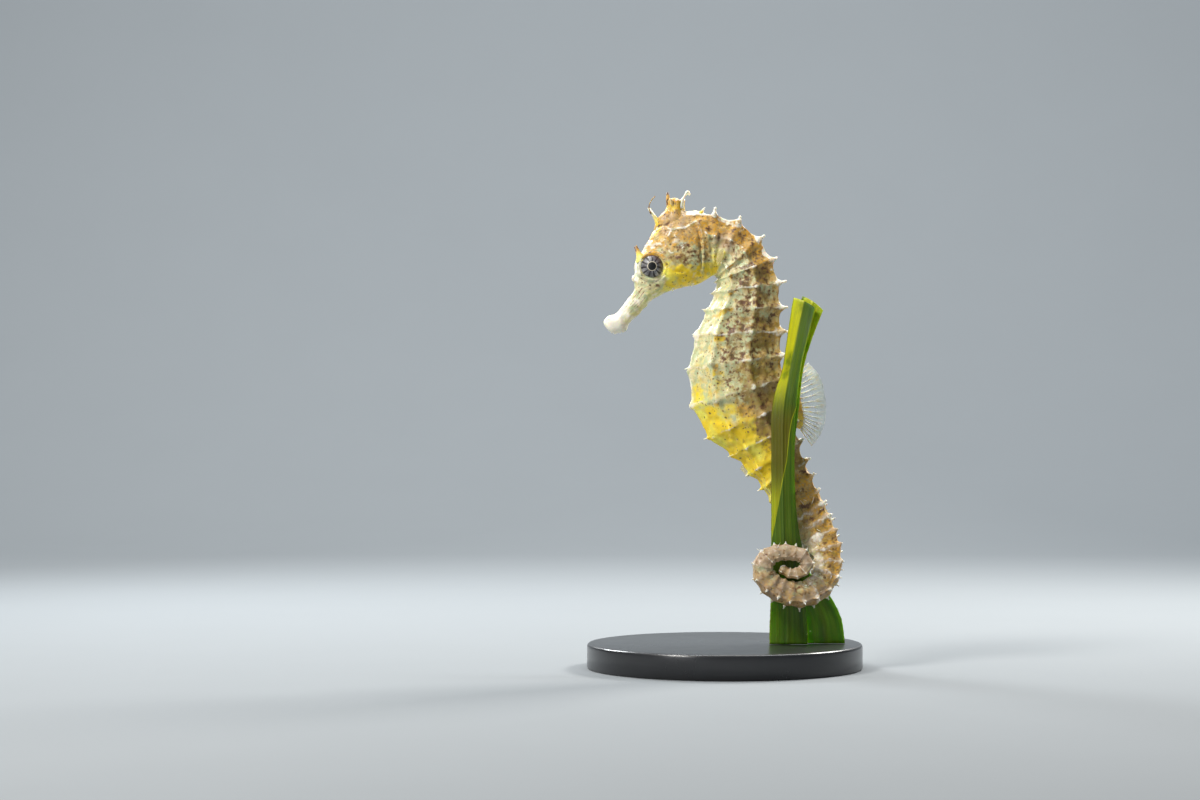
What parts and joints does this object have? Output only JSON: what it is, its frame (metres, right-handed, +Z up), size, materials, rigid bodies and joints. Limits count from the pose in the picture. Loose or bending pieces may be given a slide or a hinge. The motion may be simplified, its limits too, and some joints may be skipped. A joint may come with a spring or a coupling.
{
  "type": "seahorse",
  "caption": "Life-size seahorse, a still museum model: coiled tail and a spiny back, beside two cut leaves of seagrass, held on a short steel rod over a flat round base.",
  "frame": {"origin": "middle of the underside of the round base, on the surface that the model stands on", "axes": "+Z up; the snout points to -X and the back to +X; the animal's left side faces -Y"},
  "size_m": [0.066, 0.066, 0.1144],
  "materials": {
    "skin": "mottled cream, yellow and ochre skin over bony rings, slightly wet",
    "fin_membrane": "thin clear membrane between pale rays",
    "eye": "clear dome over a black pupil, a cream ring and a dark spoked iris",
    "leaf": "wet green leaf with fine lengthwise veins",
    "stand_acrylic": "satin black acrylic",
    "stand_steel": "brushed stainless rod"
  },
  "bodies": {
    "root": {"snout": "skin", "head": "skin", "neck": "skin", "chest": "skin", "belly": "skin", "hips": "skin", "tail_1": "skin", "tail_2": "skin", "tail_3": "skin", "tail_4": "skin", "tail_5": "skin", "tail_6": "skin", "tail_7": "skin", "tail_8": "skin", "tail_9": "skin", "coronet": "skin", "pectoral_fin_left": "fin_membrane", "pectoral_fin_right": "fin_membrane", "dorsal_fin": "fin_membrane", "anal_fin": "fin_membrane", "eye_left": "eye", "eye_right": "eye", "perch_leaf_front": "leaf", "perch_leaf_back": "leaf", "stand_base": "stand_acrylic", "stand_rod": "stand_steel"}
  },
  "joints": []
}
